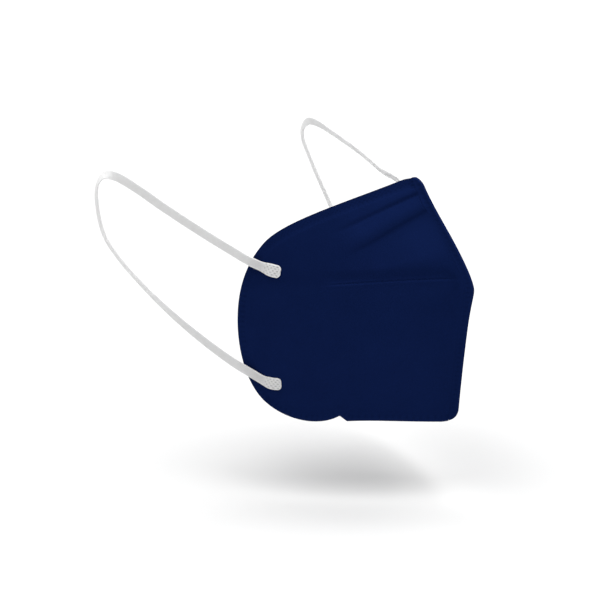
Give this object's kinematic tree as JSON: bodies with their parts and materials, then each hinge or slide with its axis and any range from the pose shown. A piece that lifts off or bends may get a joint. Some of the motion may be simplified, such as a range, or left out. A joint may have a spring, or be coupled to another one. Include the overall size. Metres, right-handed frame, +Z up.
{
  "type": "disposable respirator",
  "caption": "Vertical-fold disposable respirator with a peaked front seam, raised nose channel and two flat elastic ear loops.",
  "frame": {"origin": "where the bridge of the nose sits: in the middle plane between the two top edges, just behind the front seam", "axes": "+Y from the front seam towards the wearer's face, +Z up, +X towards the wearer's left"},
  "size_m": [0.1927, 0.181, 0.1453],
  "materials": {
    "shell_fabric": "matt navy nonwoven, pressed smooth, with embossed weld bands",
    "loop_elastic": "flat white knitted elastic",
    "strip_metal": "satin, thin malleable strip"
  },
  "bodies": {
    "root": {"shell_right": "shell_fabric", "shell_left": "shell_fabric", "front_seam": "shell_fabric", "nose_strip": "strip_metal", "ear_loop_right": "loop_elastic", "ear_loop_left": "loop_elastic"}
  },
  "joints": []
}
